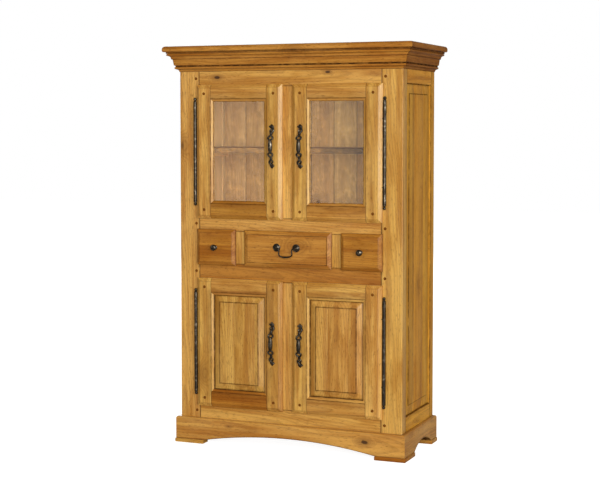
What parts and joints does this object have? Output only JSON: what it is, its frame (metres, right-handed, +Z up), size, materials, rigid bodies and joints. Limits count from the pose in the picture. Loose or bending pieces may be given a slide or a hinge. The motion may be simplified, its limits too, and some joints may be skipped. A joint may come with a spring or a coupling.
{
  "type": "pantry cabinet",
  "caption": "Free-standing oak pantry cabinet with glazed doors over a row of drawers, panelled doors below, a moulded cornice and an arched plinth.",
  "frame": {"origin": "on the floor, at the middle of the overall width and depth", "axes": "+Z up, +X to the viewer's right when facing the doors, -Y out of the front"},
  "size_m": [1.248, 0.538, 1.9],
  "materials": {
    "oak": "satin wax",
    "dark_oak": "satin wax",
    "inner_wood": "matt, unwaxed",
    "iron": "black waxed",
    "pin_steel": "oiled",
    "brass": "dull",
    "glass": "clear"
  },
  "bodies": {
    "case": {"left_front_post": "oak", "right_front_post": "oak", "left_rear_post": "oak", "right_rear_post": "oak", "side_rails": "oak", "left_side_panel": "dark_oak", "right_side_panel": "dark_oak", "front_top_rail": "oak", "front_middle_rail": "oak", "front_lower_rail": "dark_oak", "front_bottom_rail": "oak", "mullions": "oak", "drawer_dividers": "oak", "frame_pegs": "dark_oak", "back_boards": "inner_wood", "back_rails": "inner_wood", "top_board": "oak", "decks": "inner_wood", "shelves": "inner_wood", "shelf_bearers": "inner_wood", "drawer_guides": "inner_wood", "door_catches": "brass", "cornice_front": "oak", "cornice_sides": "oak", "plinth_front": "oak", "plinth_sides": "oak", "plinth_back": "inner_wood", "foot_pads": "dark_oak", "hinge_knuckles": "iron", "hinge_pins": "pin_steel"},
    "upper_left_door": {"upper_left_door_frame": "oak", "upper_left_door_pegs": "dark_oak", "upper_left_door_glass": "glass", "upper_left_hinge_barrel": "iron", "upper_left_handle": "iron"},
    "upper_right_door": {"upper_right_door_frame": "oak", "upper_right_door_pegs": "dark_oak", "upper_right_door_glass": "glass", "upper_right_hinge_barrel": "iron", "upper_right_handle": "iron"},
    "lower_left_door": {"lower_left_door_frame": "oak", "lower_left_door_pegs": "dark_oak", "lower_left_door_panel": "oak", "lower_left_hinge_barrel": "iron", "lower_left_handle": "iron"},
    "lower_right_door": {"lower_right_door_frame": "oak", "lower_right_door_pegs": "dark_oak", "lower_right_door_panel": "oak", "lower_right_hinge_barrel": "iron", "lower_right_handle": "iron"},
    "left_drawer": {"left_drawer_front": "oak", "left_drawer_box": "inner_wood", "left_drawer_knob": "iron"},
    "right_drawer": {"right_drawer_front": "oak", "right_drawer_box": "inner_wood", "right_drawer_knob": "iron"},
    "centre_drawer": {"centre_drawer_front": "oak", "centre_drawer_box": "inner_wood", "bail_posts": "iron"},
    "bail": {"bail": "iron"}
  },
  "joints": [
    {"name": "upper_left_door_hinge", "type": "hinge", "parent": "case", "child": "upper_left_door", "pos_m": [-0.476, -0.2145, 1.4005], "axis": [0, 0, -1], "range_deg": [0, 160]},
    {"name": "upper_right_door_hinge", "type": "hinge", "parent": "case", "child": "upper_right_door", "pos_m": [0.476, -0.2145, 1.4005], "axis": [0, 0, 1], "range_deg": [0, 160]},
    {"name": "lower_left_door_hinge", "type": "hinge", "parent": "case", "child": "lower_left_door", "pos_m": [-0.476, -0.2145, 0.492], "axis": [0, 0, -1], "range_deg": [0, 160]},
    {"name": "lower_right_door_hinge", "type": "hinge", "parent": "case", "child": "lower_right_door", "pos_m": [0.476, -0.2145, 0.492], "axis": [0, 0, 1], "range_deg": [0, 160]},
    {"name": "left_drawer_slide", "type": "slide", "parent": "case", "child": "left_drawer", "axis": [0, -1, 0], "range_m": [0, 0.3]},
    {"name": "right_drawer_slide", "type": "slide", "parent": "case", "child": "right_drawer", "axis": [0, -1, 0], "range_m": [0, 0.3]},
    {"name": "centre_drawer_slide", "type": "slide", "parent": "case", "child": "centre_drawer", "axis": [0, -1, 0], "range_m": [0, 0.3]},
    {"name": "bail_swing", "type": "hinge", "parent": "centre_drawer", "child": "bail", "pos_m": [0, -0.2405, 0.9575], "axis": [-1, 0, 0], "range_deg": [0, 85]}
  ]
}
